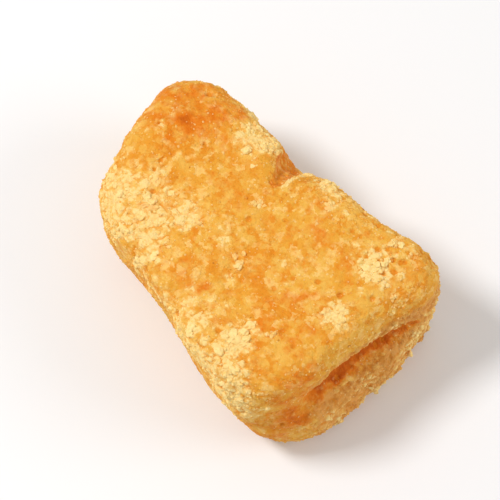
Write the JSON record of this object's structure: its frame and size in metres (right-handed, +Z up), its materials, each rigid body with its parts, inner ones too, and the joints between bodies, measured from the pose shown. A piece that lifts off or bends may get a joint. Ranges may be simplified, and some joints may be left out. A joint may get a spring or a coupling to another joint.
{
  "type": "jaggery block",
  "caption": "Hand-cut wedge-shaped block of golden jaggery with rounded edges, a torn step on its wide end and a small notch, for eating or sweetening.",
  "frame": {"origin": "middle of the flat base the block rests on", "axes": "+X along the block's long way towards its wide torn end, +Y towards the side with the notch, +Z up"},
  "size_m": [0.0444, 0.0302, 0.0189],
  "materials": {
    "jaggery": "golden amber cane sugar, frosted with fine pale grains, a little moist where it tore"
  },
  "bodies": {
    "root": {"jaggery_block": "jaggery"}
  },
  "joints": []
}
